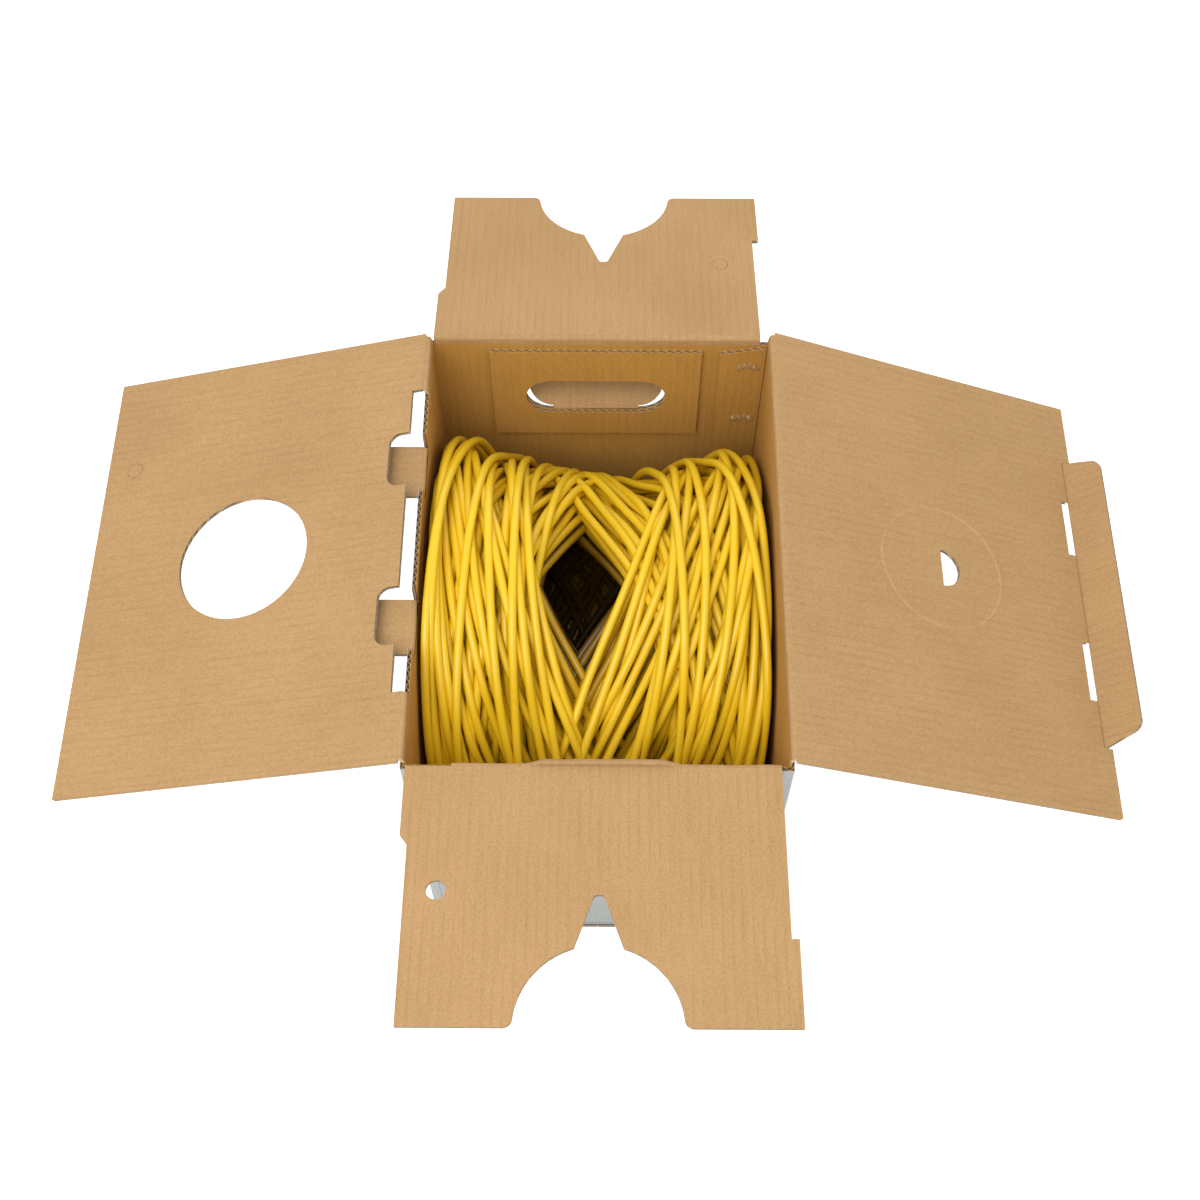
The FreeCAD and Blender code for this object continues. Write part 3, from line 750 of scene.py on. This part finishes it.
def corner_section():
    """Places round one folded corner, measured outward from the square corner of the walls."""
    centre = -CORNER_RADIUS
    outside = [(-CORNER_REACH, CORNER_LIFT)]
    for turn in np.linspace(math.pi / 2, 0, CORNER_STEPS):
        reach = CORNER_RADIUS + CORNER_LIFT
        outside.append((centre + reach * math.cos(turn), centre + reach * math.sin(turn)))
    outside.append((CORNER_LIFT, -CORNER_REACH))
    inside = [(0.0, -CORNER_REACH), (0.0, centre), (centre, 0.0), (-CORNER_REACH, 0.0)]
    return np.array(outside + inside)


def make_crimps(materials):
    """Rows of staple-like pricks that hold the joint strip to the back wall."""
    low, high, _ = node_box("joint_strip")
    random = np.random.default_rng(CRIMP_SEED)
    board = BoardMesh()
    for height in np.arange(high.z - CRIMP_FIRST, low.z + CRIMP_FIRST, -CRIMP_EVERY):
        for sideways in (-1, 0, 1):
            place = high.x - CRIMP_INSET + sideways * CRIMP_APART
            add_prick(board, np.array([place, low.y, height - abs(sideways) * CRIMP_DROP]), random)
    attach(add_piece("joint_strip_crimps", board, materials), "case")


def add_prick(board, centre, random):
    """Four torn tongues of liner that stand up round a small dark hole."""
    first = random.uniform(0, math.pi / 2)
    for quarter in range(4):
        turn = first + quarter * math.pi / 2
        out = np.array([math.cos(turn), 0.0, math.sin(turn)])
        side = np.array([-out[2], 0.0, out[0]])
        width, length = random.uniform(*TONGUE_WIDTHS), random.uniform(*TONGUE_LENGTHS)
        lift = np.array([0.0, -random.uniform(*TONGUE_LIFTS), 0.0])
        root = centre + out * length
        add_plate(board, [root - side * width, root + side * width, centre + out * TONGUE_TIP + lift], 0, 1)
        middle = centre + np.array([0.0, -HOLE_LIFT, 0.0])
        rim = middle + out * HOLE_REACH
        add_plate(board, [middle, rim - side * HOLE_WIDTH, rim + side * HOLE_WIDTH], 1, 1)


def add_plate(board, corners, face_material, side_material):
    """A thin closed plate that runs back from a flat outline."""
    back = [corner + np.array([0.0, PLATE_DEPTH, 0.0]) for corner in corners]
    board.face(corners, face_material)
    board.face(back[::-1], side_material)
    for k in range(len(corners)):
        following = (k + 1) % len(corners)
        board.face([corners[following], corners[k], back[k], back[following]], side_material)


def make_score_ring(materials):
    """The scored circle round the payout knockout: a low ridge pressed up beside the cut."""
    triangles = node_triangles("payout_knockout_disc")
    axes = board_frame("payout_knockout_disc", triangles)
    flat = triangles.reshape(-1, 3) @ axes.T
    low, high = flat.min(axis=0), flat.max(axis=0)
    radius = (high[1] - low[1]) / 2
    centre = (low[:2] + high[:2]) / 2
    rings = []
    for turn in np.linspace(0, 2 * math.pi, SCORE_STEPS, endpoint=False):
        out = np.array([math.cos(turn), math.sin(turn)])
        rings.append([(*(centre + (radius + off) * out), high[2] + lift) for off, lift in SCORE_SECTION])
    board = BoardMesh()
    board.add_rings(rings, len(SCORE_SECTION), closed=True)
    piece = add_piece("payout_score_ring", board, materials)
    piece.matrix_world = Matrix(axes.T.tolist()).to_4x4()
    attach(piece, "right_flap")


# ---------------------------------------------------------------- materials


class Shading:
    """A material's node tree, with short ways to add nodes to it."""

    def __init__(self, name, roughness):
        self.material = bpy.data.materials.new(name)
        self.material.use_nodes = True
        self.tree = self.material.node_tree
        self.shader = self.tree.nodes["Principled BSDF"]
        self.shader.inputs["Roughness"].default_value = roughness
        self.place = self.add("ShaderNodeTexCoord").outputs["Object"]

    def add(self, kind, **settings):
        node = self.tree.nodes.new(kind)
        for key, value in settings.items():
            setattr(node, key, value)
        return node

    def feed(self, socket, value):
        """Give a socket a link or a constant."""
        if isinstance(value, bpy.types.NodeSocket):
            self.tree.links.new(value, socket)
        else:
            socket.default_value = value

    def math(self, operation, first, second=0.0, third=0.0):
        node = self.add("ShaderNodeMath", operation=operation)
        for socket, value in zip(node.inputs, (first, second, third)):
            self.feed(socket, value)
        return node.outputs[0]

    def stretched(self, scale):
        """The object's coordinates, scaled along each axis."""
        node = self.add("ShaderNodeMapping")
        self.feed(node.inputs["Vector"], self.place)
        node.inputs["Scale"].default_value = scale
        return node.outputs[0]

    def noise(self, scale, detail=3.0, stretch=(1, 1, 1)):
        """Noise from 0 to 1, a value at each place on the object."""
        node = self.add("ShaderNodeTexNoise")
        self.feed(node.inputs["Vector"], self.stretched(stretch))
        node.inputs["Scale"].default_value = scale
        node.inputs["Detail"].default_value = detail
        return node.outputs["Fac"]

    def ramp(self, value, stops):
        """Colours at positions along a value from 0 to 1."""
        node = self.add("ShaderNodeValToRGB")
        ramp = node.color_ramp
        for index, (position, colour) in enumerate(stops):
            element = ramp.elements[index] if index < 2 else ramp.elements.new(position)
            element.position = position
            element.color = (*colour, 1)
        self.feed(node.inputs[0], value)
        return node.outputs["Color"]

    def mix(self, factor, first, second, blend="MIX"):
        node = self.add("ShaderNodeMix", data_type="RGBA", blend_type=blend)
        self.feed(node.inputs[0], factor)
        self.feed(node.inputs[6], first)
        self.feed(node.inputs[7], second)
        return node.outputs[2]

    def axis(self, index):
        node = self.add("ShaderNodeSeparateXYZ")
        self.feed(node.inputs[0], self.place)
        return node.outputs[index]

    def bump(self, height, distance, strength, below=None):
        node = self.add("ShaderNodeBump")
        node.inputs["Strength"].default_value = strength
        node.inputs["Distance"].default_value = distance
        self.feed(node.inputs["Height"], height)
        if below is not None:
            self.feed(node.inputs["Normal"], below)
        return node.outputs[0]

    def colour(self, value):
        self.feed(self.shader.inputs["Base Color"], value)

    def normal(self, value):
        self.feed(self.shader.inputs["Normal"], value)


def washboard(shading, across):
    """A wave across the flutes, in step with the wavy sheet inside the board."""
    return shading.math("SINE", shading.math("MULTIPLY", shading.axis(across), 2 * math.pi / FLUTE_PITCH))


def kraft_material(name, light, dark, relief, across=1):
    """Kraft liner: blotches, fibres, flecks and the flutes' ghost."""
    shading = Shading(name, 0.8)
    shading.shader.inputs["Specular IOR Level"].default_value = 0.25
    along_flutes = (0.12, 1.0, 1.0) if across == 1 else (1.0, 0.12, 1.0)
    blotch = shading.noise(11.0, 5.0)
    fibre = shading.noise(600.0, 4.0)
    streak = shading.noise(210.0, 3.0, along_flutes)
    base = shading.ramp(blotch, [(0.3, dark), (0.7, light)])
    fibres = shading.ramp(fibre, [(0.32, (0.84, 0.81, 0.76)), (0.62, (1.03, 1.03, 1.03))])
    colour = shading.mix(0.75, base, fibres, "MULTIPLY")
    streaks = shading.ramp(streak, [(0.36, (0.86, 0.83, 0.78)), (0.52, (1, 1, 1))])
    colour = shading.mix(0.25, colour, streaks, "MULTIPLY")
    wave = washboard(shading, across)
    narrow = shading.math("POWER", shading.math("MULTIPLY_ADD", wave, 0.5, 0.5), 5.0)
    lines = shading.ramp(narrow, [(0.25, (1, 1, 1)), (1.0, (0.92, 0.905, 0.88))])
    patchy = shading.ramp(shading.noise(30.0, 3.0), [(0.4, (0.25, 0.25, 0.25)), (0.62, (1, 1, 1))])
    colour = shading.mix(patchy, colour, shading.mix(1.0, colour, lines, "MULTIPLY"))
    shading.colour(colour)
    wide = shading.bump(wave, 0.12 * MM, relief)
    shading.normal(shading.bump(fibre, 0.12 * MM, 0.45, wide))
    return shading.material


def flute_material(name):
    """The rougher, darker sheet of the flutes, seen along the cut edges."""
    shading = Shading(name, 0.9)
    fibre = shading.noise(500.0, 3.0)
    light, dark = FLUTE_KRAFT
    shading.colour(shading.ramp(fibre, [(0.3, dark), (0.7, light)]))
    shading.normal(shading.bump(fibre, 0.1 * MM, 0.5))
    return shading.material


def print_material(name, across=1, height_axis=None):
    """The outer liner's pale grey print; a wall also has a printed rule line, and a black band at its foot.
    """
    shading = Shading(name, 0.55)
    fibre = shading.noise(380.0, 3.0)
    wave = washboard(shading, across)
    light, dark = PRINT_GREY
    base = shading.mix(shading.noise(12.0, 4.0), dark, light)
    fibres = shading.ramp(fibre, [(0.3, (0.9, 0.9, 0.9)), (0.7, (1, 1, 1))])
    colour = shading.mix(0.5, base, fibres, "MULTIPLY")
    if height_axis is not None:
        height = shading.math("ABSOLUTE", shading.axis(height_axis))
        rule = shading.math("COMPARE", height, RULE_HEIGHT, RULE_WIDTH / 2)
        foot = shading.math("LESS_THAN", height, FOOT_HEIGHT)
        colour = shading.mix(shading.math("MULTIPLY", rule, 0.75), colour, RULE_BLACK)
        colour = shading.mix(foot, colour, FOOT_BLACK)
    shading.colour(colour)
    shading.normal(shading.bump(fibre, 0.08 * MM, 0.35, shading.bump(wave, 0.12 * MM, 0.5)))
    return shading.material


def tape_material():
    """Glossy buff packing tape."""
    shading = Shading("packing_tape", 0.22)
    wrinkle = shading.noise(60.0, 4.0, (1.0, 0.2, 1.0))
    light, dark = TAPE_BUFF
    shading.colour(shading.ramp(wrinkle, [(0.3, dark), (0.7, light)]))
    shading.normal(shading.bump(wrinkle, 0.2 * MM, 0.4))
    return shading.material


def jacket_material():
    """Satin yellow cable jacket, with painted shade that makes it darker and browner towards the coil's
    core.
    """
    low, high, middle = node_box("cable_coil")
    shading = Shading("yellow_jacket", 0.34)
    out = []
    for index, half in ((1, (high.y - low.y) / 2), (2, (high.z - low.z) / 2)):
        share = shading.math("DIVIDE", shading.math("SUBTRACT", shading.axis(index), middle[index]), half)
        out.append(shading.math("POWER", shading.math("ABSOLUTE", share), 2.0))
    depth = shading.math("SQRT", shading.math("ADD", *out))
    patch = shading.noise(14.0, 3.0)
    light, dark = JACKET_YELLOW
    tint = shading.ramp(patch, [(0.3, dark), (0.7, light)])
    # Painted shade: the jacket's colour is multiplied darker and browner towards the coil's core.
    painted_core_shade = shading.ramp(depth, CORE_PAINTED_SHADE)
    shading.colour(shading.mix(1.0, tint, painted_core_shade, "MULTIPLY"))
    scuff = shading.noise(900.0, 2.0)
    shading.normal(shading.bump(scuff, 0.03 * MM, 0.25))
    return shading.material


# ---------------------------------------------------------------- assembly


def make_boards():
    """Every panel as corrugated board, with its folds, crimps and score line."""
    lit = kraft_material("kraft_inner", *LIT_KRAFT, 0.45)
    # Painted shade: the shaded copy of the kraft, for the walls' inner liner, the joint strip and the
    # handle plates.
    shaded = kraft_material("kraft_painted_shade", *SHADED_KRAFT, 0.45)
    scored = kraft_material("kraft_score", *SCORED_KRAFT, 0.2)
    flute = flute_material("kraft_flute")
    outer = print_material("outer_print")
    wall = print_material("wall_print", height_axis=0)
    corner = print_material("corner_print", 0, height_axis=2)
    for name in frame["nodes"]:
        if name in WALL_NODES:
            make_board(name, [shaded, wall, flute])
        elif name in LINED_NODES:
            make_board(name, [shaded, shaded, flute])
        elif name not in PLAIN_NODES:
            make_board(name, [lit, outer, flute])
    make_corners([flute, corner, flute])
    make_crimps([lit, flute])
    make_score_ring([scored, flute])


def finish_tape():
    """Packing tape on the CAD's own strip under the box."""
    tape = frame["nodes"]["bottom_tape"]
    tape.data.materials.clear()
    tape.data.materials.append(tape_material())


# ---------------------------------------------------------------- studio


def make_floor():
    """A plain pale floor that glows a little, so that it shows as a white background."""
    mesh = bpy.data.meshes.new("floor")
    corners = [(-FLOOR_HALF, -FLOOR_HALF, 0), (FLOOR_HALF, -FLOOR_HALF, 0), (FLOOR_HALF, FLOOR_HALF, 0),
               (-FLOOR_HALF, FLOOR_HALF, 0)]
    mesh.from_pydata(corners, [], [(0, 1, 2, 3)])
    floor = bpy.data.objects.new("floor", mesh)
    bpy.context.scene.collection.objects.link(floor)
    material = bpy.data.materials.new("floor_pale")
    material.use_nodes = True
    shader = material.node_tree.nodes["Principled BSDF"]
    shader.inputs["Base Color"].default_value = FLOOR_WHITE
    shader.inputs["Emission Color"].default_value = (1, 1, 1, 1)
    shader.inputs["Emission Strength"].default_value = FLOOR_GLOW
    mesh.materials.append(material)


def add_light(name, place, size, power):
    """A soft square light that looks at the middle of the box."""
    data = bpy.data.lights.new(name, "AREA")
    data.size = size
    data.energy = power
    light = bpy.data.objects.new(name, data)
    light.location = place
    light.rotation_euler = (Vector((0, 0, 0.2)) - light.location).to_track_quat("-Z", "Y").to_euler()
    bpy.context.scene.collection.objects.link(light)


def make_studio():
    """White sky, soft lights and plain colour handling."""
    bpy.context.scene.view_settings.view_transform = "Standard"
    world = bpy.data.worlds.new("studio")
    bpy.context.scene.world = world
    world.use_nodes = True
    background = world.node_tree.nodes["Background"]
    background.inputs["Color"].default_value = (1, 1, 1, 1)
    background.inputs["Strength"].default_value = SKY_STRENGTH
    for name, place, size, power in LIGHTS:
        add_light(name, place, size, power)


make_camera()
make_floor()
make_studio()
make_boards()
finish_tape()
make_creases()
make_cable()
